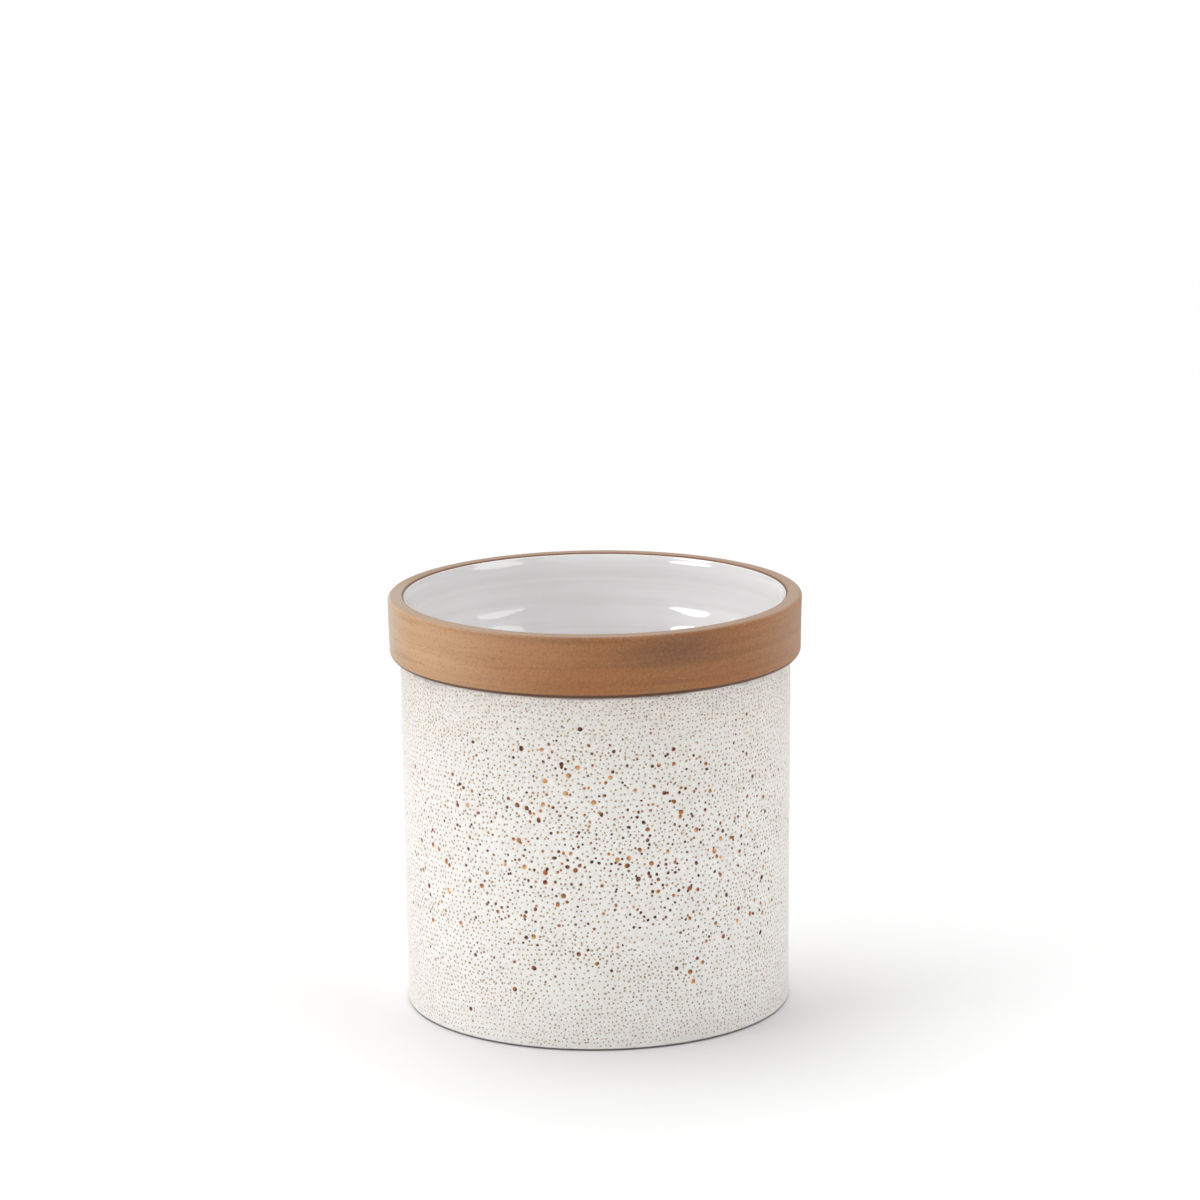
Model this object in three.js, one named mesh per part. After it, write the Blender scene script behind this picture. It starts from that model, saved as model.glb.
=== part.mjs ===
// A straight-sided stoneware crock with a bare-clay band round its mouth, a thick white glaze outside
// and a thin glossy glaze inside. Millimetres, +Z up, origin at the middle of the foot.
import * as THREE from 'three';

// Driving dimensions.
const HEIGHT = 131;
const BAND_RADIUS = 65;
const BAND_HEIGHT = 19.3;
const BAND_DRAFT = 0.4;
const BAND_TOP_EDGE = 1.3;
const BAND_LOW_EDGE = 1.9;
const MOUTH_RADIUS = 59.8;
const MOUTH_EDGE = 0.5;
const FLARE_DEPTH = 4.75;
const NECK_RADIUS = 58.75;
const WALL_TOP_RADIUS = 61.4;
const WALL_FOOT_RADIUS = 60.65;
const INSIDE_RADIUS = 55.65;
const SHOULDER_TOP_DEPTH = 15;
const SHOULDER_LOW_DEPTH = 27;
const FLOOR_Z = 7.5;
const FLOOR_CORNER = 9;
const OUTER_GLAZE = 0.6;
const INNER_GLAZE = 0.5;
const GLAZE_STOP_Z = 0.4;
const GLAZE_STOP_DEPTH = 0.4;
const FOOT_CHAMFER = 0.7;
const FOOT_RING_WIDTH = 7;
const FOOT_RECESS = 1.5;
const SEAM = 0.1;

// How finely round stretches and the turning itself are cut.
const TURNS = 64;
const CORNER_STEPS = 5;
const SHOULDER_STEPS = 7;
const FLARE_STEPS = 4;

// Heights and radii that follow.
const JOINT_Z = HEIGHT - BAND_HEIGHT;
const FLARE_LOW_Z = HEIGHT - FLARE_DEPTH;
const SHOULDER_TOP_Z = HEIGHT - SHOULDER_TOP_DEPTH;
const SHOULDER_LOW_Z = HEIGHT - SHOULDER_LOW_DEPTH;
const BAND_LOW_RADIUS = BAND_RADIUS - BAND_DRAFT;
const LINER_TO_CLAY = INNER_GLAZE + SEAM;
const SKIN_TO_CLAY = OUTER_GLAZE + SEAM;

const at = (radius, height) => new THREE.Vector2(radius, height);

// A round corner from one angle to another, in degrees, as the points of an arc.
function corner(radius, height, size, from, to, steps = CORNER_STEPS) {
  const turn = THREE.MathUtils.degToRad;
  const arc = new THREE.EllipseCurve(radius, height, size, size, turn(from), turn(to), to < from);
  return arc.getPoints(steps);
}

// The share of the way from one height to another, from 0 to 1.
function shareUp(height, low, high) {
  return THREE.MathUtils.clamp((height - low) / (high - low), 0, 1);
}

// The inside wall's radius at a height: the mouth flares, and under its neck one soft shoulder
// narrows the wall.
function insideRadius(height) {
  const rise = shareUp(height, SHOULDER_LOW_Z, SHOULDER_TOP_Z);
  const neck = THREE.MathUtils.lerp(INSIDE_RADIUS, NECK_RADIUS, (1 - Math.cos(Math.PI * rise)) / 2);
  return neck + (MOUTH_RADIUS - NECK_RADIUS) * shareUp(height, FLARE_LOW_Z, HEIGHT) ** 2;
}

// Points of the inside wall, behind its surface by a depth, from one height up to another.
function insideWall(behind, low, high, steps = SHOULDER_STEPS) {
  const heights = Array.from({ length: steps + 1 }, (_, i) => THREE.MathUtils.lerp(low, high, i / steps));
  return heights.map((z) => at(insideRadius(z) + behind, z));
}

// Points of the inside from the middle of the floor to the foot of the shoulder, behind its surface.
function insideFloor(behind) {
  const centre = INSIDE_RADIUS - FLOOR_CORNER;
  return [
    at(0, FLOOR_Z - behind),
    ...corner(centre, FLOOR_Z + FLOOR_CORNER, FLOOR_CORNER + behind, -90, 0),
  ];
}

// The outside wall's radius at a height: a slight taper from the band to the foot.
function outsideRadius(height) {
  return THREE.MathUtils.mapLinear(height, 0, JOINT_Z, WALL_FOOT_RADIUS, WALL_TOP_RADIUS);
}

// Turns a profile of radius and height round +Z.
function turned(profile) {
  return new THREE.LatheGeometry(profile, TURNS).rotateX(Math.PI / 2);
}

function closed(profile) {
  return [...profile, profile[0].clone()];
}

// Floor, foot ring and wall in one thrown piece of clay, open at the top.
function crockBody() {
  const clayFoot = outsideRadius(FOOT_CHAMFER) - SKIN_TO_CLAY;
  const ringOuter = clayFoot - FOOT_CHAMFER;
  const ringInner = ringOuter - FOOT_RING_WIDTH;
  return turned([
    at(0, FOOT_RECESS),
    at(ringInner - FOOT_RECESS, FOOT_RECESS),
    at(ringInner, 0),
    at(ringOuter, 0),
    at(clayFoot, FOOT_CHAMFER),
    at(outsideRadius(JOINT_Z) - SKIN_TO_CLAY, JOINT_Z - SEAM),
    ...insideWall(LINER_TO_CLAY, SHOULDER_LOW_Z, JOINT_Z - SEAM).reverse(),
    ...insideFloor(LINER_TO_CLAY).reverse(),
  ]);
}

// The bare-clay band: a collar that stands on the wall and overhangs it all round.
function rimBand() {
  const edgeZ = HEIGHT - MOUTH_EDGE;
  const inner = insideRadius(edgeZ) + LINER_TO_CLAY;
  return turned(closed([
    ...corner(BAND_LOW_RADIUS - BAND_LOW_EDGE, JOINT_Z + BAND_LOW_EDGE, BAND_LOW_EDGE, -90, 0),
    ...corner(BAND_RADIUS - BAND_TOP_EDGE, HEIGHT - BAND_TOP_EDGE, BAND_TOP_EDGE, 0, 90),
    ...corner(inner + MOUTH_EDGE, edgeZ, MOUTH_EDGE, 90, 180),
    ...insideWall(LINER_TO_CLAY, FLARE_LOW_Z, edgeZ, FLARE_STEPS).slice(0, -1).reverse(),
    ...insideWall(LINER_TO_CLAY, JOINT_Z, SHOULDER_TOP_Z).reverse(),
  ]));
}

// The outside glaze: a thick coat on the wall that stops short of the foot.
function outerGlaze() {
  const low = outsideRadius(GLAZE_STOP_Z);
  const top = outsideRadius(JOINT_Z);
  const topZ = JOINT_Z - SEAM;
  const half = OUTER_GLAZE / 2;
  return turned(closed([
    ...corner(low - half, GLAZE_STOP_Z + half, half, -180, 0),
    at(top, topZ),
    at(top - OUTER_GLAZE, topZ),
  ]));
}

// The inside glaze: a cup of liner glaze from the floor to just under the mouth's edge.
function innerGlaze() {
  const half = INNER_GLAZE / 2;
  const lipZ = HEIGHT - GLAZE_STOP_DEPTH - half;
  const lip = corner(insideRadius(lipZ) + half, lipZ, half, 0, 180);
  return turned([
    ...insideFloor(INNER_GLAZE),
    ...insideWall(INNER_GLAZE, SHOULDER_LOW_Z, SHOULDER_TOP_Z),
    ...insideWall(INNER_GLAZE, FLARE_LOW_Z, lipZ, FLARE_STEPS).slice(0, -1),
    ...lip,
    ...insideWall(0, FLARE_LOW_Z, lipZ, FLARE_STEPS).slice(0, -1).reverse(),
    ...insideWall(0, SHOULDER_LOW_Z, SHOULDER_TOP_Z).reverse(),
    ...insideFloor(0).reverse(),
  ]);
}

function piece(name, geometry, color, roughness) {
  const material = new THREE.MeshStandardMaterial({ color, roughness, metalness: 0 });
  const mesh = new THREE.Mesh(geometry, material);
  mesh.name = name;
  return mesh;
}

const crock = new THREE.Group();
crock.add(piece('crock_body', crockBody(), '#a8744c', 0.9));
crock.add(piece('rim_band', rimBand(), '#a9744b', 0.85));
crock.add(piece('outer_glaze', outerGlaze(), '#e9e6e1', 0.6));
crock.add(piece('inner_glaze', innerGlaze(), '#e4e3e4', 0.15));

export default crock;
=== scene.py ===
"""A straight-sided stoneware crock: bare-clay band, pitted white glaze outside, glossy glaze inside."""
import math

import bpy
import numpy as np
from mathutils import Matrix, Vector
from mathutils.geometry import delaunay_2d_cdt


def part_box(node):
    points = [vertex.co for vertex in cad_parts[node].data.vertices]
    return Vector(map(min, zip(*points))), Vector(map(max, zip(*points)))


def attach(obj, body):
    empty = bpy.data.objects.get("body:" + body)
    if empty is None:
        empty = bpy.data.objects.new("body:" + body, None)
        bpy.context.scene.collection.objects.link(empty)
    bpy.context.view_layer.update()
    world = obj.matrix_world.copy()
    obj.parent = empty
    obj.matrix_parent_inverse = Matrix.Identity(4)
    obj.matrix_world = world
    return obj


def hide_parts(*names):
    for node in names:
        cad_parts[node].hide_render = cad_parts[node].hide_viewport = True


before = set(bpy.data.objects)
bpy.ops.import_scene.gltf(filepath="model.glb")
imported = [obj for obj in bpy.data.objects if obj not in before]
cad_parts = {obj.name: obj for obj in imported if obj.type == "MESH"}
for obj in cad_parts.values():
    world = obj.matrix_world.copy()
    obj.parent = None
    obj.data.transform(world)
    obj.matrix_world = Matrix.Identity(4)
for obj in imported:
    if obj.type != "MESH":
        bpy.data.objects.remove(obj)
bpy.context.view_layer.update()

# Shapes are worked out in millimetres. What the frame's solids say comes from them.
MM = 0.001
BAND_LOW, BAND_HIGH = (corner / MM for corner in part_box("rim_band"))
SKIN_LOW, SKIN_HIGH = (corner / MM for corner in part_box("outer_glaze"))
LINER_LOW, LINER_HIGH = (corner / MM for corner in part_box("inner_glaze"))
CLAY_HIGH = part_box("crock_body")[1] / MM

HEIGHT = BAND_HIGH.z
JOINT_Z = BAND_LOW.z
BAND_RADIUS = BAND_HIGH.x
BAND_DRAFT = 0.4
BAND_TOP_EDGE = 1.3
BAND_LOW_EDGE = 1.9
MOUTH_EDGE = 0.5
INNER_GLAZE = 0.5
OUTER_GLAZE = 0.6
SEAM = 0.1
MOUTH_RADIUS = 59.8
NECK_RADIUS = 58.75
INSIDE_RADIUS = 55.65
FLARE_LOW = HEIGHT - 4.75
SHOULDER_TOP = HEIGHT - 15
SHOULDER_LOW = HEIGHT - 27
FLOOR_Z = LINER_LOW.z + INNER_GLAZE
FLOOR_CORNER = 9
WALL_TOP_RADIUS = SKIN_HIGH.x
WALL_TAPER = 0.75
FOOT_CHAMFER = 0.7
FOOT_RING_WIDTH = 7
FOOT_RECESS = 1.5

FULL_TURN = 2 * math.pi


# ---------------------------------------------------------------- profiles


def arc(radius, height, size, start, stop, steps=8):
    """Points of a round corner, from one angle in degrees to another."""
    turn = np.radians(np.linspace(start, stop, steps + 1))
    return np.column_stack((radius + size * np.cos(turn), height + size * np.sin(turn)))


def inside_radius(height):
    """The inside wall narrows from a flare at the mouth to a neck, and below it in one soft shoulder."""
    flare = np.clip((height - FLARE_LOW) / (HEIGHT - FLARE_LOW), 0, 1)
    rise = np.clip((height - SHOULDER_LOW) / (SHOULDER_TOP - SHOULDER_LOW), 0, 1)
    neck = INSIDE_RADIUS + (NECK_RADIUS - INSIDE_RADIUS) * (1 - np.cos(math.pi * rise)) / 2
    return neck + (MOUTH_RADIUS - NECK_RADIUS) * flare**2


def outside_radius(height):
    """The outside wall widens a little from the foot to the band."""
    return WALL_TOP_RADIUS - WALL_TAPER * (1 - height / JOINT_Z)


def inside_wall(behind, low, high, steps):
    heights = np.linspace(low, high, steps + 1)
    return np.column_stack((inside_radius(heights) + behind, heights))


def inside_floor(behind):
    """From the middle of the floor to the top of the round corner."""
    corner = arc(
        INSIDE_RADIUS - FLOOR_CORNER, FLOOR_Z + FLOOR_CORNER, FLOOR_CORNER + behind, -90, 0, 16
    )
    return np.vstack(((0, FLOOR_Z - behind), corner))


def refined(points, step):
    """The same outline with a point at least every step along it."""
    parts = []
    for start, stop in zip(points[:-1], points[1:]):
        pieces = max(1, math.ceil(np.linalg.norm(np.subtract(stop, start)) / step))
        share = np.arange(pieces)[:, None] / pieces
        parts.append(np.asarray(start) * (1 - share) + np.asarray(stop) * share)
    return np.vstack((*parts, points[-1]))


# ---------------------------------------------------------------- meshes


def strip_uv(turn, rise, strip):
    """Where a point goes on the square map: two strips, each half a turn long, one over the other."""
    across = 0.01 + 0.98 * (2 * turn - strip)
    up = (strip + 0.02 + 0.96 * rise) / 2
    return np.stack((across, up), -1)


def new_piece(name, points, faces, uv, values=None):
    """A smooth mesh object from points in millimetres, faces, face-corner UVs and point attributes."""
    mesh = bpy.data.meshes.new(name)
    mesh.from_pydata((points * MM).tolist(), [], faces)
    mesh.shade_smooth()
    layer = mesh.uv_layers.new(name="OFBake")
    layer.data.foreach_set("uv", uv.astype(np.float32).ravel())
    for key, numbers in (values or {}).items():
        attribute = mesh.attributes.new(key, "FLOAT", "POINT")
        attribute.data.foreach_set("value", numbers.astype(np.float32))
    mesh.validate()
    piece = bpy.data.objects.new(name, mesh)
    bpy.context.scene.collection.objects.link(piece)
    return piece


def outline_normals(profile, loop):
    """The way out at each point of an outline, from the points on either side of it."""
    if loop:
        ahead, behind = np.roll(profile, -1, 0), np.roll(profile, 1, 0)
    else:
        ahead = np.vstack((profile[1:], profile[-1:]))
        behind = np.vstack((profile[:1], profile[:-1]))
    along = ahead - behind
    normal = np.column_stack((along[:, 1], -along[:, 0]))
    return normal / np.linalg.norm(normal, axis=1, keepdims=True)


def number_rings(rings, turns):
    """Each ring's point numbers. A ring of one point, on the axis, repeats its number."""
    numbers = []
    start = 0
    for ring in rings:
        numbers.append(start + np.arange(turns) % len(ring))
        start += len(ring)
    return numbers


def ring_faces(numbers, rises, turns, loop):
    """The faces between rings and their UVs: triangles next to the axis, and four-sided elsewhere."""
    faces, corners = [], []
    column = np.arange(turns)
    strip = (2 * column // turns)[:, None]
    turn = np.stack((column, column + 1, column + 1, column), -1) / turns
    for row, (low, high) in enumerate(zip(numbers[:-1], numbers[1:])):
        around = np.column_stack((low, np.roll(low, -1), np.roll(high, -1), high))
        rise = np.array([rises[row], rises[row], rises[row + 1], rises[row + 1]])
        uv = strip_uv(turn, rise + 0 * turn, strip)
        if loop or 0 < row < len(numbers) - 2:
            used = [0, 1, 2, 3]
        elif row == 0:
            used = [0, 2, 3]
        else:
            used = [0, 1, 3]
        faces += around[:, used].tolist()
        corners.append(uv[:, used].reshape(-1, 2))
    return faces, np.concatenate(corners)


def turned(name, profile, turns, relief, loop=False):
    """Turns an outline of (radius, height) round +Z. An open outline starts and ends on the axis.

    relief(angle, radius, height) gives how far the surface stands out along its own normal.
    """
    normal = outline_normals(profile, loop)
    angle = FULL_TURN * np.arange(turns) / turns
    radius = profile[:, :1] + np.zeros(turns)
    height = profile[:, 1:] + np.zeros(turns)
    out = relief(angle[None, :], radius, height)
    radius, height = radius + out * normal[:, :1], height + out * normal[:, 1:]
    if not loop:
        radius[[0, -1]] = 0
        height[[0, -1]] = height[[0, -1]].mean(1, keepdims=True)
    rings = list(np.stack((radius * np.cos(angle), radius * np.sin(angle), height), -1))
    if not loop:
        rings[0], rings[-1] = rings[0][:1], rings[-1][:1]
    numbers = number_rings(rings, turns)
    if loop:
        numbers.append(numbers[0])
        profile = np.vstack((profile, profile[:1]))
    run = np.append(0, np.cumsum(np.linalg.norm(np.diff(profile, axis=0), axis=1)))
    faces, uv = ring_faces(numbers, run / run[-1], turns, loop)
    return new_piece(name, np.concatenate(rings), faces, uv)


def ripples(rng, count, around, upward, size):
    """A soft unevenness: waves with whole numbers of turns round the crock and any pitch up it."""
    turns = rng.integers(-around, around + 1, count)
    pitch = FULL_TURN / rng.uniform(*upward, count)
    phase = rng.uniform(0, FULL_TURN, count)
    share = size / math.sqrt(count)

    def relief(angle, radius, height):
        out = 0
        for n, k, p in zip(turns, pitch, phase):
            out = out + share * np.cos(n * angle + k * height + p)
        return out

    return relief


# ---------------------------------------------------------------- turned pieces


def crock_body():
    """The thrown clay under the glazes. Only its foot and underside show."""
    foot = outside_radius(FOOT_CHAMFER) - OUTER_GLAZE - SEAM
    ring_outer = foot - FOOT_CHAMFER
    ring_inner = ring_outer - FOOT_RING_WIDTH
    behind = INNER_GLAZE + SEAM
    under = [(0, FOOT_RECESS), (ring_inner - FOOT_RECESS, FOOT_RECESS), (ring_inner, 0), (ring_outer, 0)]
    profile = np.vstack((
        refined(under, 0.8),
        (foot, FOOT_CHAMFER),
        (CLAY_HIGH.x, JOINT_Z - SEAM),
        inside_wall(behind, SHOULDER_LOW, JOINT_Z - SEAM, 8)[::-1],
        inside_floor(behind)[::-1],
    ))
    waves = ripples(np.random.default_rng(11), 18, 1, (1.2, 4), 0.05)

    def relief(angle, radius, height):
        """Turning rings on the recessed underside, left by a tool run in from the foot."""
        shown = (np.abs(height - FOOT_RECESS) < 0.01) & (radius < ring_inner - 2 * FOOT_RECESS)
        return np.where(shown, waves(angle, height, radius) - 0.05, 0)

    return turned("clay_body", profile, 192, relief)


def rim_band():
    """The bare-clay collar round the mouth."""
    inner = inside_radius(HEIGHT - MOUTH_EDGE) + INNER_GLAZE + SEAM
    low_radius = BAND_RADIUS - BAND_DRAFT
    outside = refined(
        np.vstack((
            arc(low_radius - BAND_LOW_EDGE, JOINT_Z + BAND_LOW_EDGE, BAND_LOW_EDGE, -90, 0, 10),
            arc(BAND_RADIUS - BAND_TOP_EDGE, HEIGHT - BAND_TOP_EDGE, BAND_TOP_EDGE, 0, 90, 8),
        )),
        0.35,
    )
    top = refined([(BAND_RADIUS - BAND_TOP_EDGE, HEIGHT), (inner + MOUTH_EDGE, HEIGHT)], 0.5)[1:]
    profile = np.vstack((
        outside,
        top,
        arc(inner + MOUTH_EDGE, HEIGHT - MOUTH_EDGE, MOUTH_EDGE, 90, 180, 5)[1:],
        inside_wall(INNER_GLAZE + SEAM, JOINT_Z, HEIGHT - MOUTH_EDGE, 40)[-2::-1],
    ))
    rng = np.random.default_rng(23)
    slow = ripples(rng, 10, 3, (15, 60), 0.05)
    tooling = ripples(rng, 26, 2, (0.8, 3), 0.018)

    def relief(angle, radius, height):
        """Hand-trimmed: a slow wander round the band and fine tooling lines along it."""
        shown = radius > inner + 0.6
        return np.where(shown, slow(angle, radius, height) + tooling(angle, radius, height) - 0.06, 0)

    return turned("clay_band", profile, 384, relief, loop=True)


def inner_glaze():
    """The liner glaze: a cup that fills the inside and ends in a round lip under the mouth's edge."""
    half = INNER_GLAZE / 2
    lip = LINER_HIGH.z - half
    hidden = np.vstack((inside_floor(INNER_GLAZE), inside_wall(INNER_GLAZE, SHOULDER_LOW, lip, 40)[:-1]))
    shown = np.vstack((inside_wall(0, SHOULDER_LOW, lip, 60)[::-1], inside_floor(0)[::-1]))
    profile = np.vstack((
        hidden,
        arc(inside_radius(lip) + half, lip, half, 0, 180, 10)[:-1],
        refined(shown, 0.7),
    ))
    rng = np.random.default_rng(31)
    grooves = ripples(rng, 22, 1, (2.6, 8), 0.026)
    sag = ripples(rng, 8, 2, (12, 40), 0.03)

    def relief(angle, radius, height):
        """Throwing rings under the glaze, which smooths them."""
        wall = (radius < inside_radius(height) + half) & (height > FLOOR_Z + 1)
        fade = np.clip((HEIGHT - 1.2 - height) / 2, 0, 1) * np.clip((height - FLOOR_Z - 1) / 6, 0, 1)
        return np.where(wall, fade * (grooves(angle, radius, height) + sag(angle, radius, height)), 0)

    return turned("liner_glaze", profile, 256, relief)


# ---------------------------------------------------------------- the pitted outside glaze

GIRTH = FULL_TURN * WALL_TOP_RADIUS
SKIN_EDGE = 0.3
SKIN_COLUMNS = 320
# How far past each end the unrolled wall is repeated, so that its faces join up.
JOIN_MARGIN = 8
# The glaze's own unevenness dies out over this height at its edges, and its surface sinks by this much.
PEEL_FADE = 2
PEEL_SINK = 0.03
# Pin-holes stand in rows, closer together towards both edges of the glaze.
PIT_SPACING = 1.78
PIT_SPACING_EDGE = 1.45
PIT_EDGE_ZONE = 20
PIT_JITTER = 0.155
PIT_RADII = (0.36, 0.56)
# How far apart rows are for the spacing in them, and how far round each row starts, in pin-holes.
ROW_SPACING = 0.87
ROW_SHIFT = (0.3, 0.7)
# Craters gather in patches: degrees round from the front, height in mm, how far each spreads, and how many.
CRATER_PATCHES = (
    (5, 68, 31, 18, 420),
    (-20, 52, 40, 22, 110),
    (38, 42, 16, 12, 60),
    (115, 55, 26, 17, 150),
    (198, 70, 34, 21, 260),
    (283, 50, 24, 16, 120),
)
CRATER_LEAST = 0.38
CRATER_SPREAD = 0.14
CRATER_MOST = 0.84
# How near two craters may stand, as a share of their radii together.
CRATER_NEAREST = 0.82
# No crater's middle is nearer than these to the lower and the upper end of the pits.
CRATER_CLEAR_LOW = 3
CRATER_CLEAR_HIGH = 8
# How deep a pit is for its radius, and the glaze's full depth.
HOLE_DEPTH = 0.55
CRATER_DEPTH = 0.65
DEEPEST = 0.5


def pin_holes(rng, low, high):
    """Centres (around, up) and radii of the pin-holes on the unrolled wall."""
    wander = ripples(rng, 8, 9, (20, 60), 0.9)
    sway = ripples(rng, 8, 9, (20, 60), 1.1)
    spots, sizes = [], []
    up = low
    shift = 0
    while up < high:
        middle = np.clip(min(up - low, high - up) / PIT_EDGE_ZONE, 0, 1)
        spacing = PIT_SPACING_EDGE + (PIT_SPACING - PIT_SPACING_EDGE) * middle
        count = round(GIRTH / spacing)
        around = (np.arange(count) + shift) * GIRTH / count
        angle = around / GIRTH * FULL_TURN
        row = np.column_stack((around + sway(angle, 0, up), up + wander(angle, 0, up)))
        spots.append(row + rng.normal(0, PIT_JITTER * spacing, (count, 2)))
        sizes.append(rng.uniform(*PIT_RADII, count) * (0.76 + 0.24 * middle))
        up += spacing * ROW_SPACING
        shift += rng.uniform(*ROW_SHIFT)
    return np.vstack(spots), np.concatenate(sizes)


def craters(rng, low, high):
    """Centres and radii of the craters. The larger one of two that overlap too far is kept."""
    parts = []
    for turn, middle, spread, tall, count in CRATER_PATCHES:
        around = np.radians(turn - 90 + rng.normal(0, spread, count)) / FULL_TURN * GIRTH
        parts.append(np.column_stack((around, middle + rng.normal(0, tall, count))))
    spots = np.vstack(parts)
    radius = np.minimum(CRATER_LEAST + rng.exponential(CRATER_SPREAD, len(spots)), CRATER_MOST)
    up = spots[:, 1]
    inside = np.flatnonzero((up > low + CRATER_CLEAR_LOW) & (up < high - CRATER_CLEAR_HIGH))
    kept = []
    for number in inside[np.argsort(-radius[inside])]:
        apart = gap(spots[kept], spots[number])
        if (apart > CRATER_NEAREST * (radius[kept] + radius[number])).all():
            kept.append(number)
    return spots[kept], radius[kept]


def gap(spots, centre):
    """How far every spot is from one centre, round the wall."""
    away = spots - centre
    away[:, 0] = (away[:, 0] + GIRTH / 2) % GIRTH - GIRTH / 2
    return np.linalg.norm(away, axis=1)


def rings(rng, centres, radius, stretch, layout):
    """Points in rings round each centre. layout holds (share of the radius, points, depth share, pit)."""
    parts = []
    lean = rng.uniform(0, math.pi, len(centres))
    start = rng.random((len(centres), 1))
    axis = np.column_stack((np.cos(lean), np.sin(lean)))[:, None]
    for share, count, depth, pit in layout:
        turn = FULL_TURN * (np.arange(count) + start) / count
        size = radius[:, None] * share * rng.uniform(0.9, 1.1, (len(centres), count))
        off = np.stack((size * np.cos(turn), size * np.sin(turn)), -1)
        off += (stretch[:, None, None] - 1) * (off * axis).sum(-1, keepdims=True) * axis
        facts = np.broadcast_to((depth, pit), (len(centres), count, 2))
        of = np.broadcast_to(np.arange(len(centres))[:, None, None], (len(centres), count, 1))
        parts.append(np.concatenate((centres[:, None] + off, facts, of), -1).reshape(-1, 5))
    return np.vstack(parts)


# A crater's raised lip, as a share of its radius.
CRATER_LIP = 1.06
# Rings from the middle of a pit outwards: share of its radius, points, share of its depth, and how pit-like.
HOLE_RINGS = ((0, 1, 1, 1), (1, 4, 0, 0))
CRATER_RINGS = ((0, 1, 1, 1), (0.5, 4, 0.96, 1), (0.86, 8, 0.6, 0.9), (CRATER_LIP, 8, -0.04, 0))
# How much longer than round a crater is, on average and at most, and a pin-hole at most.
CRATER_STRETCH = 0.16
CRATER_STRETCH_MOST = 0.6
HOLE_STRETCH = 0.25
# A pin-hole keeps this far from a crater.
HOLE_CLEAR = 0.1
# The share of pin-holes that iron stains, how much more of them next to a crater, and how far that reaches.
STAINED = 0.08
STAINED_NEAR = 0.45
STAIN_REACH = 2.2
PLAIN_IRON = (0, 0.12)
STAINED_IRON = (0.12, 0.24)


def pitting(rng):
    """Points of the pitted surface: around, up, depth, pit (1 in a pit), iron, and side of the pit, which
    carries each crater's painted light and shade.
    """
    low, high = SKIN_LOW.z + 1.0, SKIN_HIGH.z - 0.9
    hole, hole_radius = pin_holes(rng, low, high)
    crater, crater_radius = craters(rng, low, high)
    lengthen = 1 + np.minimum(rng.exponential(CRATER_STRETCH, len(crater)), CRATER_STRETCH_MOST)
    reach = CRATER_LIP * crater_radius * np.sqrt(lengthen)
    nearest = np.full(len(hole), np.inf)
    for centre, size in zip(crater, reach):
        nearest = np.minimum(nearest, gap(hole, centre) - size)
    clear = (nearest > hole_radius + HOLE_CLEAR) & (hole[:, 1] > low) & (hole[:, 1] < high)
    hole, hole_radius, nearest = hole[clear], hole_radius[clear], nearest[clear]

    stretch = 1 + rng.uniform(0, HOLE_STRETCH, len(hole))
    small = rings(rng, hole, hole_radius, stretch, HOLE_RINGS)
    of = small[:, 4].astype(int)
    stained = rng.random(len(hole)) < STAINED + STAINED_NEAR * np.exp(-nearest / STAIN_REACH)
    iron = np.where(stained, rng.uniform(*STAINED_IRON, len(hole)), rng.uniform(*PLAIN_IRON, len(hole)))
    small_depth = small[:, 2] * HOLE_DEPTH * hole_radius[of]
    small = np.column_stack((small[:, :2], small_depth, small[:, 3], iron[of], 0 * small_depth))

    large = rings(rng, crater, crater_radius / np.sqrt(lengthen), lengthen, CRATER_RINGS)
    of = large[:, 4].astype(int)
    swallowed = np.zeros(len(large), bool)
    for number, (centre, size) in enumerate(zip(crater, crater_radius)):
        swallowed |= (gap(large[:, :2], centre) < 0.9 * size) & (of != number)
    swallowed &= large[:, 3] < 0.95
    tone = 0.5 + 0.5 * np.clip(rng.uniform(0.1, 1.15, len(crater)) - 0.9 * (crater_radius - 0.5), 0, 1)
    # Painted light and shade: each crater is painted darker on one side and paler on the other, the darker
    # side mostly up and to the right.
    side = rng.normal(60, 75, len(crater)) / 360 * FULL_TURN
    off = (large[:, :2] - crater[of]) / crater_radius[of, None]
    side = off[:, 0] * np.cos(side[of]) + off[:, 1] * np.sin(side[of])
    depth = large[:, 2] * np.minimum(CRATER_DEPTH * crater_radius[of], DEEPEST)
    large = np.column_stack((large[:, :2], depth, large[:, 3], tone[of], side))[~swallowed]
    points = np.vstack((small, large))
    points[:, 0] %= GIRTH
    points[:, 1] = np.clip(points[:, 1], low - 0.5, high + 0.5)
    return points


def unrolled_faces(spots):
    """Triangles between points (around, up) of the unrolled wall, joined where it comes round to itself."""
    count = len(spots)
    ahead = np.flatnonzero(spots[:, 0] < JOIN_MARGIN)
    back = np.flatnonzero(spots[:, 0] > GIRTH - JOIN_MARGIN)
    index = np.concatenate((np.arange(count), ahead, back))
    plane = spots[index]
    plane[count : count + len(ahead), 0] += GIRTH
    plane[count + len(ahead) :, 0] -= GIRTH
    found = delaunay_2d_cdt([Vector(p) for p in plane.tolist()], [], [], 0, 1e-7)
    flat = np.array([tuple(p) for p in found[0]])
    origin = np.array([source[0] for source in found[3]])
    faces = np.array(found[2])
    middle = flat[faces, 0].mean(1)
    once = (middle >= 0) & (middle < GIRTH)
    faces, middle = faces[once], middle[once]
    a, b, c = (flat[faces[:, k]] for k in range(3))
    turning = (b[:, 0] - a[:, 0]) * (c[:, 1] - a[:, 1]) - (b[:, 1] - a[:, 1]) * (c[:, 0] - a[:, 0])
    faces = np.where(turning[:, None] < 0, faces[:, ::-1], faces)
    return index[origin[faces]], flat[faces], middle


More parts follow.
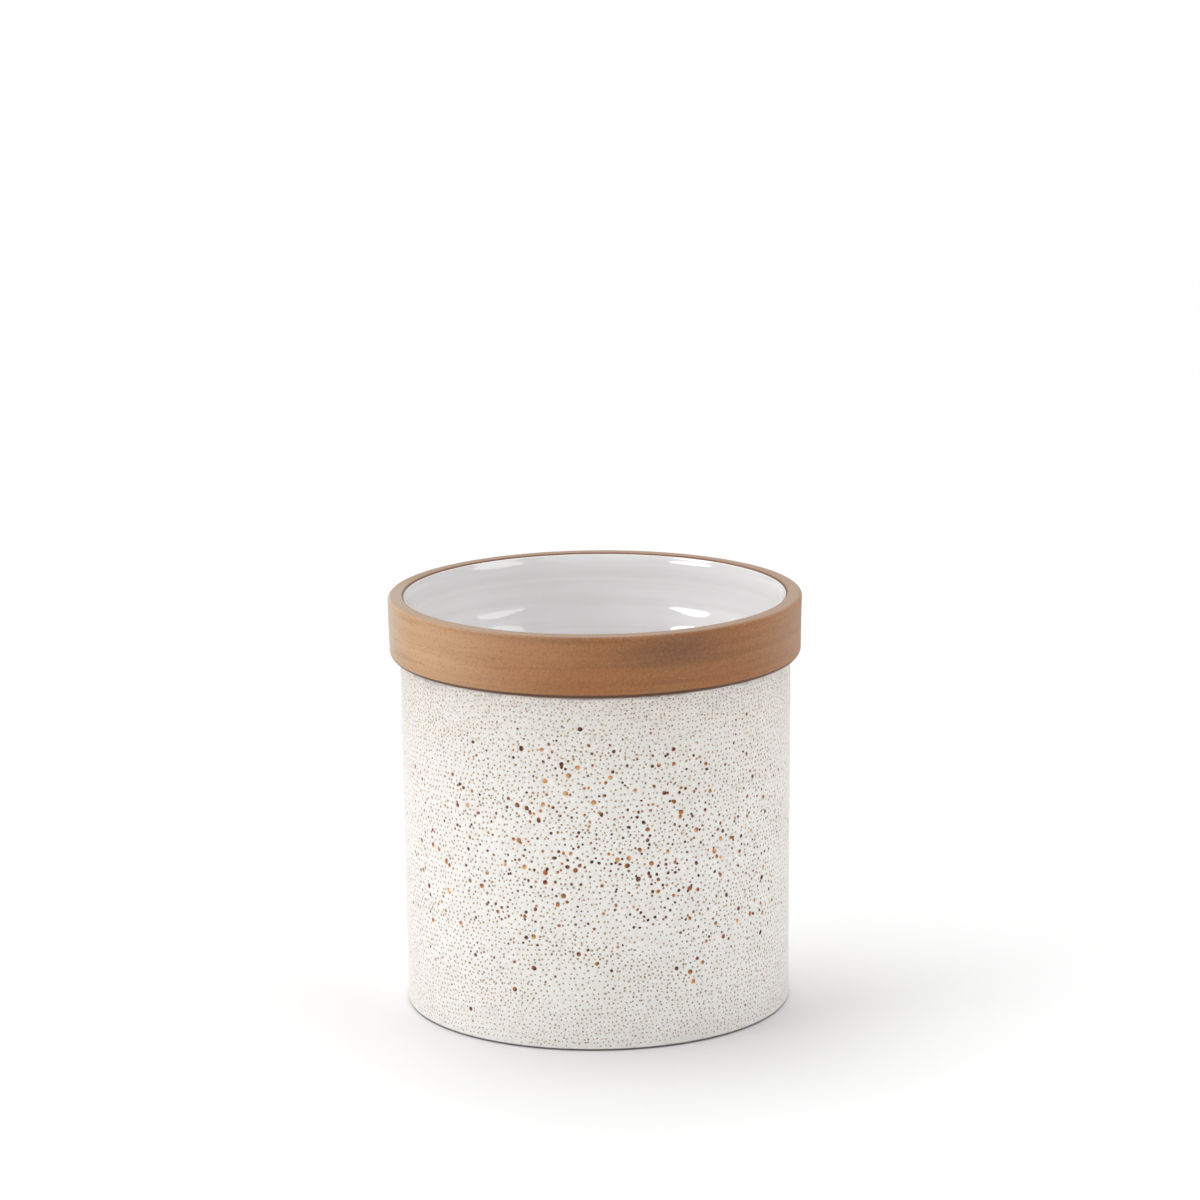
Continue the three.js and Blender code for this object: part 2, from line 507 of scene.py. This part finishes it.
def wrapped(radius, angle, height):
    """Points round the axis."""
    return np.column_stack((radius * np.cos(angle), radius * np.sin(angle), height))


def skin_back(low, high):
    """Rings of points on the glaze's hidden back: its rounded lower edge, then the top of its clay side."""
    angle = FULL_TURN * np.arange(SKIN_COLUMNS) / SKIN_COLUMNS
    half = OUTER_GLAZE / 2
    edge = arc(outside_radius(low) - half, low, half, 0, -180, 6)[1:]
    outline = [*edge, (WALL_TOP_RADIUS - OUTER_GLAZE, high)]
    return [wrapped(radius, angle, np.full(SKIN_COLUMNS, height)) for radius, height in outline]


def back_faces(count, rings):
    """Faces and UVs from the front's lower border, over the back's rings, to the front's upper border."""
    column = np.arange(SKIN_COLUMNS)
    loops = [column]
    for number in range(rings):
        loops.append(count + SKIN_COLUMNS * number + column)
    loops.append(SKIN_COLUMNS + column)
    faces = []
    for ring, following in zip(loops[:-1], loops[1:]):
        faces.append(np.column_stack((ring, following, np.roll(following, -1), np.roll(ring, -1))))
    columns = np.tile(column, len(faces))
    turn = np.stack((columns, columns, columns + 1, columns + 1), -1) / SKIN_COLUMNS
    level = np.repeat(np.arange(len(faces)), SKIN_COLUMNS)
    rise = np.stack((level, level + 1, level + 1, level), -1) / len(faces)
    return np.vstack(faces), np.stack((0.01 + 0.98 * turn, 0.496 + 0.008 * rise), -1)


def outer_glaze():
    """The thick outside glaze. Each pit is a real hollow in it: pin-holes are cones, craters are bowls."""
    rng = np.random.default_rng(7)
    low, high = SKIN_LOW.z + SKIN_EDGE, SKIN_HIGH.z
    border = GIRTH * np.arange(SKIN_COLUMNS) / SKIN_COLUMNS
    blank = np.zeros((SKIN_COLUMNS, 4))
    spots = np.vstack((
        np.column_stack((border, np.full(SKIN_COLUMNS, low), blank)),
        np.column_stack((border, np.full(SKIN_COLUMNS, high), blank)),
        pitting(rng),
    ))
    faces, corners, middle = unrolled_faces(spots[:, :2])
    around, up, depth = spots[:, 0], spots[:, 1], spots[:, 2]
    peel = ripples(rng, 30, 26, (6, 30), 0.035)
    angle = around / GIRTH * FULL_TURN
    away = peel(angle, 0, up) * np.clip((up - low) / PEEL_FADE, 0, 1)
    away = away * np.clip((high - up) / PEEL_FADE, 0, 1) - PEEL_SINK
    front = wrapped(outside_radius(up) + away - depth, angle, up)
    back = skin_back(low, high)

    strip = (middle >= GIRTH / 2).astype(int)[:, None]
    front_uv = strip_uv(corners[..., 0] / GIRTH, (corners[..., 1] - low) / (high - low), strip)
    quads, back_uv = back_faces(len(spots), len(back))
    uv = np.concatenate((front_uv.reshape(-1, 2), back_uv.reshape(-1, 2)))
    points = np.vstack((front, *back))
    facts = np.zeros((len(points), 3))
    facts[: len(spots)] = spots[:, 3:]
    # The side attribute carries each crater's painted light and shade.
    values = {"pit": facts[:, 0], "iron": facts[:, 1], "side": facts[:, 2]}
    return new_piece("crater_glaze", points, faces.tolist() + quads.tolist(), uv, values)


# ---------------------------------------------------------------- materials


def new_material(name, **shader):
    """A Principled material. Underscores in the names of its sockets stand for spaces."""
    material = bpy.data.materials.new(name)
    material.use_nodes = True
    principled = material.node_tree.nodes["Principled BSDF"]
    for socket, value in shader.items():
        principled.inputs[socket.replace("_", " ")].default_value = value
    return material, material.node_tree, principled


def add(tree, kind, inputs, **settings):
    """A node, with values or links for its inputs."""
    node = tree.nodes.new("ShaderNode" + kind)
    for key, value in settings.items():
        setattr(node, key, value)
    for key, value in inputs.items():
        if isinstance(value, bpy.types.NodeSocket):
            tree.links.new(value, node.inputs[key])
        else:
            node.inputs[key].default_value = value
    return node


def place(tree, stretch=(1, 1, 1)):
    """Where a point of the object is, in metres, with each axis stretched."""
    coordinates = add(tree, "TexCoord", {}).outputs["Object"]
    return add(tree, "Mapping", {"Vector": coordinates, "Scale": stretch}).outputs["Vector"]


def noise(tree, stretch, detail=2, rough=0.5):
    where = place(tree, stretch)
    inputs = {"Vector": where, "Scale": 1, "Detail": detail, "Roughness": rough}
    return add(tree, "TexNoise", inputs).outputs["Fac"]


def ramp(tree, value, low, high, to_low=0, to_high=1):
    """value from low to high, as to_low to to_high, smoothly."""
    inputs = {"Value": value, "From Min": low, "From Max": high, "To Min": to_low, "To Max": to_high}
    return add(tree, "MapRange", inputs, interpolation_type="SMOOTHSTEP").outputs["Result"]


def mix(tree, share, first, second):
    """A colour between two colours, each a socket or three numbers."""
    node = tree.nodes.new("ShaderNodeMix")
    node.data_type = "RGBA"
    for index, value in ((0, share), (6, first), (7, second)):
        if isinstance(value, bpy.types.NodeSocket):
            tree.links.new(value, node.inputs[index])
        elif index:
            node.inputs[index].default_value = (*value, 1)
        else:
            node.inputs[index].default_value = value
    return node.outputs[2]


def shades(tree, value, stops):
    """Colours along a value, as (value, colour) stops."""
    node = add(tree, "ValToRGB", {"Fac": value})
    elements = node.color_ramp.elements
    for number, (position, colour) in enumerate(stops):
        element = elements[number] if number < 2 else elements.new(position)
        element.position = position
        element.color = (*colour, 1)
    return node.outputs["Color"]


def calculate(tree, operation, first, second=0.0):
    return add(tree, "Math", {0: first, 1: second}, operation=operation).outputs[0]


def bump(tree, principled, height, distance, strength=1):
    node = add(tree, "Bump", {"Height": height, "Distance": distance, "Strength": strength})
    tree.links.new(node.outputs["Normal"], principled.inputs["Normal"])


def split(tree):
    """Height above the foot, and distance from the axis, in metres."""
    where = place(tree)
    parts = add(tree, "SeparateXYZ", {"Vector": where})
    level = add(tree, "VectorMath", {0: where, 1: (1, 1, 0)}, operation="MULTIPLY").outputs[0]
    out = add(tree, "VectorMath", {0: level}, operation="LENGTH").outputs["Value"]
    return parts.outputs["Z"], out


def azimuth_length(tree):
    """How far round the band from its front, in metres."""
    parts = add(tree, "SeparateXYZ", {"Vector": place(tree)}).outputs
    back = calculate(tree, "MULTIPLY", parts["Y"], -1)
    turn = calculate(tree, "ARCTAN2", parts["X"], back)
    return calculate(tree, "MULTIPLY", turn, BAND_RADIUS * MM)


def specks(tree, per_metre, size):
    """Specks scattered through a material: 1 in the middle of each."""
    where = place(tree, (per_metre,) * 3)
    cells = add(tree, "TexVoronoi", {"Vector": where, "Scale": 1})
    pick = add(tree, "SeparateColor", {"Color": cells.outputs["Color"]}).outputs[0]
    some = ramp(tree, pick, 0.45, 0.55)
    return calculate(tree, "MULTIPLY", ramp(tree, cells.outputs["Distance"], size, 0), some)


def speckle(tree, colour, per_metre, size, share, tint):
    """A colour with specks of another tint in it."""
    spots = calculate(tree, "MULTIPLY", specks(tree, per_metre, size), share)
    return mix(tree, spots, colour, tint)


# A pin-hole's colour up to 0.24 and a crater's above it, the paler and yellower the less iron in it.
# The two ends come first, because a new colour ramp already has them.
PIT_SHADES = (
    (0, (0.52, 0.36, 0.18)),
    (1, (0.08, 0.016, 0.004)),
    (0.12, (0.36, 0.21, 0.085)),
    (0.24, (0.15, 0.058, 0.016)),
    (0.28, (0.95, 0.7, 0.43)),
    (0.45, (0.86, 0.49, 0.18)),
    (0.65, (0.56, 0.21, 0.05)),
    (0.85, (0.25, 0.062, 0.01)),
)
# The dark line at the foot is partly the real shadow under the glaze's lower edge and partly painted shade:
# where the painted shade starts and is full, above the glaze's lower end.
FOOT_SHADE_TOP = 0.42
FOOT_SHADE_FULL = 0.15
# Painted light and shade in the craters: how much darker one side of a crater is painted, as if shaded, and
# its other side paler, as if lit, than its middle.
CRATER_PAINTED_SHADE = 0.25


# Patches of colour on the band: degrees round from the front, height over its lower edge and how far each
# spreads, in mm, with its colour and strength. Most are the clay's own fire-coloured tones; the pale ones at
# -88, -64 and 82 degrees are painted sheen, standing in for the bright light that grazes the band's sides.
BAND_TINTS_AND_SHEEN = (
    (-64, 10, 52, 30, (0.68, 0.43, 0.25), 0.85),
    (-88, 12, 22, 30, (0.62, 0.54, 0.45), 0.85),
    (-20, 9, 14, 9, (0.48, 0.21, 0.08), 0.6),
    (-2, 5, 20, 6, (0.385, 0.155, 0.055), 0.8),
    (22, 14, 20, 7, (0.2, 0.092, 0.048), 0.75),
    (38, 4, 16, 5, (0.37, 0.152, 0.06), 0.7),
    (82, 10, 34, 30, (0.52, 0.315, 0.195), 0.75),
    (132, 8, 36, 12, (0.44, 0.25, 0.15), 0.7),
    (-148, 13, 24, 7, (0.24, 0.11, 0.055), 0.6),
)


def band_patch(tree, across, height, azimuth, up, spread, tall, strength):
    """A soft-edged oval on the band, strength in its middle and 0 outside."""
    middle = (math.radians(azimuth) * BAND_RADIUS * MM, (JOINT_Z + up) * MM, 0)
    where = add(tree, "CombineXYZ", {"X": across, "Y": height}).outputs[0]
    off = add(tree, "VectorMath", {0: where, 1: middle}, operation="SUBTRACT").outputs[0]
    size = (1 / (math.radians(spread) * BAND_RADIUS * MM), 1 / (tall * MM), 0)
    scaled = add(tree, "VectorMath", {0: off, 1: size}, operation="MULTIPLY").outputs[0]
    far = add(tree, "VectorMath", {0: scaled}, operation="LENGTH").outputs["Value"]
    return ramp(tree, far, 1.3, 0.1, 0, strength)


def band_clay():
    material, tree, principled = new_material("band_clay", IOR=1.4, Sheen_Weight=0.14, Sheen_Roughness=0.35)
    height, out = split(tree)
    streak = noise(tree, (9, 9, 420), 5, 0.62)
    broad = noise(tree, (14, 14, 95), 3)
    colour = mix(tree, ramp(tree, streak, 0.32, 0.68), (0.29, 0.121, 0.044), (0.39, 0.175, 0.068))
    colour = mix(tree, ramp(tree, broad, 0.55, 0.72, 0, 0.5), colour, (0.41, 0.175, 0.065))
    across = azimuth_length(tree)
    wander = ramp(tree, streak, 0.3, 0.7, 0.8, 1)
    # The pale patches at the band's sides are painted sheen; the rest are the clay's own tones.
    for azimuth, up, spread, tall, tint, strength in BAND_TINTS_AND_SHEEN:
        share = band_patch(tree, across, height, azimuth, up, spread, tall, strength)
        colour = mix(tree, calculate(tree, "MULTIPLY", share, wander), colour, tint)
    grain = noise(tree, (1500,) * 3, 3, 0.7)
    colour = mix(tree, ramp(tree, grain, 0.3, 0.5, 0.35, 0), colour, (0.12, 0.05, 0.025))
    colour = mix(tree, ramp(tree, grain, 0.52, 0.75, 0, 0.4), colour, (0.52, 0.3, 0.16))
    colour = speckle(tree, colour, 900, 0.25, 0.35, (0.6, 0.42, 0.27))
    colour = speckle(tree, colour, 620, 0.2, 0.6, (0.07, 0.035, 0.02))
    dark = ramp(tree, noise(tree, (26, 26, 520), 3, 0.6), 0.6, 0.72, 0, 0.22)
    colour = mix(tree, dark, colour, (0.15, 0.065, 0.03))
    # Painted shade: the band's round lower edge, over the glaze, is painted dark in its lowest 1 to 1.5 mm.
    lower = ramp(tree, height, (JOINT_Z + 1.5) * MM, (JOINT_Z + 1) * MM, 0, 0.92)
    colour = mix(tree, lower, colour, (0.075, 0.03, 0.018))
    # Painted highlight: the band's top face is painted paler and greyer, where it faces the light from
    # above.
    top = ramp(tree, height, (HEIGHT - 0.35) * MM, (HEIGHT - 0.1) * MM, 0, 0.7)
    colour = mix(tree, top, colour, (0.35, 0.27, 0.205))
    clay_edge = inside_radius(HEIGHT - MOUTH_EDGE) + INNER_GLAZE
    mouth = ramp(tree, out, (clay_edge + 0.75) * MM, (clay_edge + 0.3) * MM, 0, 0.5)
    colour = mix(tree, mouth, colour, (0.13, 0.05, 0.03))
    tree.links.new(colour, principled.inputs["Base Color"])
    tree.links.new(ramp(tree, streak, 0.3, 0.7, 0.6, 0.75), principled.inputs["Roughness"])
    relief = calculate(tree, "ADD", calculate(tree, "MULTIPLY", grain, 0.7), streak)
    bump(tree, principled, relief, 0.00035, 0.8)
    return material


def foot_clay():
    material, tree, principled = new_material("foot_clay", Roughness=0.85, IOR=1.45)
    height, out = split(tree)
    even = calculate(tree, "MULTIPLY", out, 900)
    wander = calculate(tree, "MULTIPLY", noise(tree, (5, 5, 5)), 9)
    ring = calculate(tree, "SINE", calculate(tree, "ADD", even, wander))
    grain = noise(tree, (1300,) * 3, 3, 0.7)
    broad = ramp(tree, noise(tree, (30,) * 3, 4), 0.3, 0.7)
    colour = mix(tree, broad, (0.4, 0.23, 0.13), (0.52, 0.32, 0.19))
    colour = mix(tree, ramp(tree, ring, 0.2, 1, 0, 0.25), colour, (0.28, 0.15, 0.08))
    colour = mix(tree, ramp(tree, grain, 0.3, 0.5, 0.4, 0), colour, (0.18, 0.09, 0.05))
    colour = speckle(tree, colour, 800, 0.25, 0.6, (0.66, 0.5, 0.36))
    colour = speckle(tree, colour, 560, 0.2, 0.6, (0.08, 0.04, 0.02))
    worn = ramp(tree, height, 0.6 * MM, 0.05 * MM, 0, 0.35)
    colour = mix(tree, worn, colour, (0.6, 0.42, 0.28))
    ring_edge = outside_radius(0) - OUTER_GLAZE - SEAM - FOOT_CHAMFER
    # Painted shade: the clay at the foot's outer edge is painted dark grey, deepening the shadow under the
    # glaze's lower edge.
    painted_foot_shade = ramp(tree, out, (ring_edge - 0.4) * MM, (ring_edge + 0.1) * MM, 0, 0.85)
    colour = mix(tree, painted_foot_shade, colour, (0.09, 0.082, 0.078))
    tree.links.new(colour, principled.inputs["Base Color"])
    tree.links.new(ramp(tree, grain, 0.3, 0.7, 0.75, 0.95), principled.inputs["Roughness"])
    bump(tree, principled, grain, 0.0003, 0.7)
    return material


def pitted_glaze():
    material, tree, principled = new_material("crater_glaze", Roughness=0.5, IOR=1.5)
    pit, iron, side = (
        add(tree, "Attribute", {}, attribute_name=name).outputs["Fac"] for name in ("pit", "iron", "side")
    )
    cloud = noise(tree, (22, 22, 22), 3)
    mottle = noise(tree, (160,) * 3, 3)
    glaze = mix(tree, ramp(tree, cloud, 0.35, 0.65), (0.945, 0.922, 0.882), (0.96, 0.943, 0.912))
    glaze = mix(tree, ramp(tree, mottle, 0.42, 0.68, 0, 0.3), glaze, (0.84, 0.8, 0.74))
    height = split(tree)[0]
    near_band = ramp(tree, height, (JOINT_Z - 30) * MM, (JOINT_Z - 3) * MM, 0.3, 0.7)
    pores = calculate(tree, "MULTIPLY", specks(tree, 900, 0.62), near_band)
    # Painted shade: the glaze darkens from half its height up to the band, which shades it, while its lower
    # part gets more light off the floor.
    painted_upper_shade = ramp(tree, height, 0.5 * JOINT_Z * MM, JOINT_Z * MM, 0, 0.45)
    glaze = mix(tree, painted_upper_shade, glaze, (0.73, 0.69, 0.63))
    glaze = mix(tree, pores, glaze, (0.52, 0.41, 0.29))
    # Painted shade: the glaze's top 0.9 mm, under the band's overhang, is painted browner.
    edge = ramp(tree, height, (JOINT_Z - 0.9) * MM, (JOINT_Z - 0.2) * MM, 0, 0.6)
    glaze = mix(tree, edge, glaze, (0.5, 0.33, 0.22))
    # Painted shade: the glaze's lowest edge is painted dark, into the shadow line at the foot.
    lip = ramp(tree, height, (SKIN_LOW.z + FOOT_SHADE_TOP) * MM, (SKIN_LOW.z + FOOT_SHADE_FULL) * MM, 0, 0.75)
    glaze = mix(tree, lip, glaze, (0.2, 0.185, 0.175))
    # Each crater's painted light and shade moves its colour along the shades.
    lean = calculate(tree, "MULTIPLY", side, CRATER_PAINTED_SHADE)
    stain = shades(tree, calculate(tree, "ADD", iron, lean), PIT_SHADES)
    colour = mix(tree, ramp(tree, pit, 0.0, 0.5), glaze, stain)
    tree.links.new(colour, principled.inputs["Base Color"])
    tree.links.new(ramp(tree, pit, 0, 1, 0.5, 0.35), principled.inputs["Roughness"])
    pebbles = calculate(tree, "ADD", noise(tree, (700,) * 3, 2), noise(tree, (260,) * 3, 1))
    bump(tree, principled, calculate(tree, "SUBTRACT", pebbles, pores), 0.00025, 0.6)
    return material


def liner():
    material, tree, principled = new_material("liner_glaze", IOR=1.6)
    rings = noise(tree, (2.5, 2.5, 170), 4, 0.6)
    cloud = noise(tree, (18, 18, 40), 3)
    colour = mix(tree, ramp(tree, cloud, 0.3, 0.7), (0.91, 0.9, 0.897), (0.935, 0.926, 0.924))
    colour = mix(tree, ramp(tree, rings, 0.42, 0.66, 0, 0.6), colour, (0.82, 0.8, 0.805))
    colour = speckle(tree, colour, 130, 0.05, 0.3, (0.45, 0.36, 0.28))
    tree.links.new(colour, principled.inputs["Base Color"])
    tree.links.new(ramp(tree, cloud, 0.3, 0.7, 0.03, 0.07), principled.inputs["Roughness"])
    bump(tree, principled, noise(tree, (140, 140, 240), 2), 0.0001, 0.12)
    return material


def floor_paint():
    material, tree, principled = new_material("studio_floor", Roughness=0.9)
    colour = mix(tree, noise(tree, (3, 3, 3), 2), (0.795, 0.795, 0.795), (0.805, 0.805, 0.805))
    tree.links.new(colour, principled.inputs["Base Color"])
    return material


# ---------------------------------------------------------------- putting it together

for make, node, material_slot, paint in (
    (crock_body, "crock_body", "foot_clay", foot_clay),
    (rim_band, "rim_band", "band_clay", band_clay),
    (outer_glaze, "outer_glaze", "crater_glaze", pitted_glaze),
    (inner_glaze, "inner_glaze", "liner_glaze", liner),
):
    made = make()
    made.data.materials.append(paint())
    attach(made, "root")
    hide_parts(node)

# ---------------------------------------------------------------- studio

FLOOR_REACH = 14
SOFTBOX_ELEVATION = 16.5
SOFTBOX_AWAY = 1.5
WORLD_STRENGTH = 0.02
SKY_ELEVATION = 60
SKY_SPREAD = 50
BACKDROP_SIZE = 3
BACKDROP_WATTS = 14
BACKDROP_AT = (0, 4, 2.5)


def floor():
    mesh = bpy.data.meshes.new("studio_floor")
    reach = FLOOR_REACH
    corners = [(-reach, -reach, 0), (reach, -reach, 0), (reach, reach, 0), (-reach, reach, 0)]
    mesh.from_pydata(corners, [], [(0, 1, 2, 3)])
    plane = bpy.data.objects.new("studio_floor", mesh)
    bpy.context.scene.collection.objects.link(plane)
    plane.data.materials.append(floor_paint())


def towards(azimuth, elevation):
    """A direction away from the crock. Azimuth 0 is the camera's side, and it grows to the right."""
    turn, lift = math.radians(azimuth), math.radians(elevation)
    return Vector((math.sin(turn) * math.cos(lift), -math.cos(turn) * math.cos(lift), math.sin(lift)))


def lamp(light, away, at):
    holder = bpy.data.objects.new(light.name, light)
    bpy.context.scene.collection.objects.link(holder)
    holder.location = at
    holder.rotation_euler = away.to_track_quat("Z", "Y").to_euler()


def softbox(name, azimuth, elevation, distance, size, watts):
    """An oval light aimed at the middle of the crock."""
    light = bpy.data.lights.new(name, "AREA")
    light.shape = "ELLIPSE"
    light.size, light.size_y = size
    light.energy = watts
    away = towards(azimuth, elevation)
    lamp(light, away, Vector((0, 0, HEIGHT * MM / 2)) + away * distance)


def backdrop_light():
    """A big light that hangs over the floor behind the crock and keeps the far floor white."""
    light = bpy.data.lights.new("backdrop_light", "AREA")
    light.size = BACKDROP_SIZE
    light.energy = BACKDROP_WATTS
    lamp(light, Vector((0, 0, 1)), Vector(BACKDROP_AT))


def sky(name, azimuth, elevation, spread, strength):
    """A broad patch of far-off light, as from a big diffuser: the same everywhere on the floor."""
    light = bpy.data.lights.new(name, "SUN")
    light.angle = math.radians(spread)
    light.energy = strength
    away = towards(azimuth, elevation)
    lamp(light, away, away)


def studio():
    floor()
    softbox("softbox_left", -64, SOFTBOX_ELEVATION, SOFTBOX_AWAY, (0.8, 0.34), 5.8)
    softbox("softbox_right", 64, SOFTBOX_ELEVATION, SOFTBOX_AWAY, (0.95, 0.46), 3.5)
    backdrop_light()
    sky("sky_left", -90, SKY_ELEVATION, SKY_SPREAD, 1.18)
    sky("sky_back_left", -135, SKY_ELEVATION, SKY_SPREAD, 0.7)
    sky("sky_behind", 175, SKY_ELEVATION, SKY_SPREAD, 1.14)
    sky("sky_right", 90, SKY_ELEVATION, SKY_SPREAD, 0.97)
    sky("sky_front", 0, 25, 60, 0.44)
    world = bpy.data.worlds.new("studio")
    world.use_nodes = True
    background = world.node_tree.nodes["Background"]
    background.inputs["Color"].default_value = (1, 1, 1, 1)
    background.inputs["Strength"].default_value = WORLD_STRENGTH
    bpy.context.scene.world = world
    bpy.context.scene.view_settings.view_transform = "Standard"


CAMERA_DISTANCE = 1.399
CAMERA_ELEVATION = 17.47
CAMERA_PITCH = 12.332
CAMERA_YAW = -0.07
CAMERA_ROLL = -0.54
CAMERA_LENS = 130.6
CAMERA_SENSOR = 36
CAMERA_REACH = 60


def camera():
    """A long lens a little above the crock, aimed over it so that it sits low in the frame."""
    data = bpy.data.cameras.new("camera")
    data.lens = CAMERA_LENS
    data.sensor_width = CAMERA_SENSOR
    data.clip_end = CAMERA_REACH
    eye = bpy.data.objects.new("camera", data)
    bpy.context.scene.collection.objects.link(eye)
    lift = math.radians(CAMERA_ELEVATION)
    place_at = Vector((0, -math.cos(lift), math.sin(lift))) * CAMERA_DISTANCE
    turn = (
        Matrix.Rotation(math.radians(CAMERA_YAW), 4, "Z")
        @ Matrix.Rotation(math.radians(90 - CAMERA_PITCH), 4, "X")
        @ Matrix.Rotation(math.radians(CAMERA_ROLL), 4, "Z")
    )
    eye.matrix_world = Matrix.Translation(place_at) @ turn
    bpy.context.scene.camera = eye


studio()
camera()
